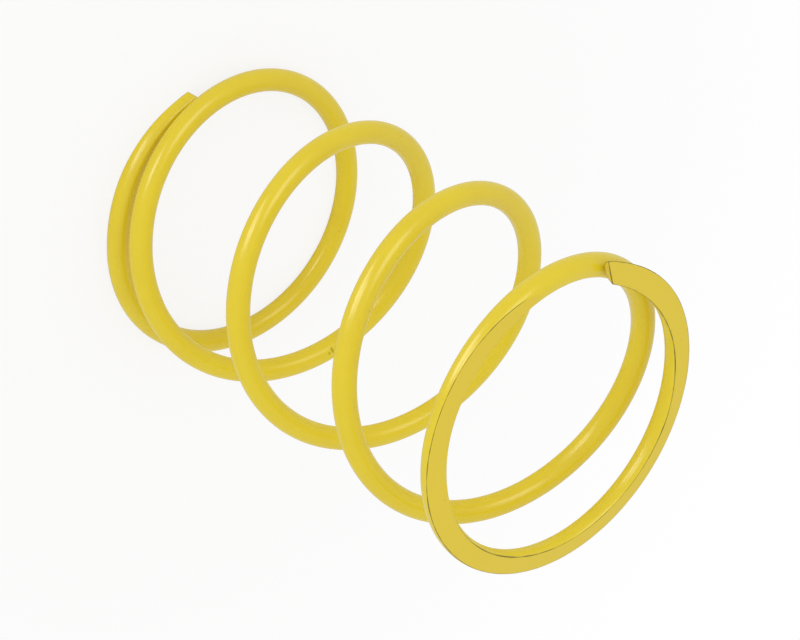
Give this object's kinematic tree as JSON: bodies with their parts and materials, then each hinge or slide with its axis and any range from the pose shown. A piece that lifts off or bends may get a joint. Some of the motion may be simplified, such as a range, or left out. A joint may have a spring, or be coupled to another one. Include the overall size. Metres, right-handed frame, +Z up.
{
  "type": "torque spring",
  "caption": "Painted helical compression spring of round wire with closed, ground ends, which presses a belt drive's pulley halves together.",
  "frame": {"origin": "on the coil's axis, in the plane of the lower ground end", "axes": "+Z up the coil's axis from the lower ground end to the upper one; the lower end's wire tip lies on the +X side"},
  "size_m": [0.0549, 0.0552, 0.0884],
  "materials": {
    "paint": "gloss"
  },
  "bodies": {
    "root": {"spring": "paint"}
  },
  "joints": []
}
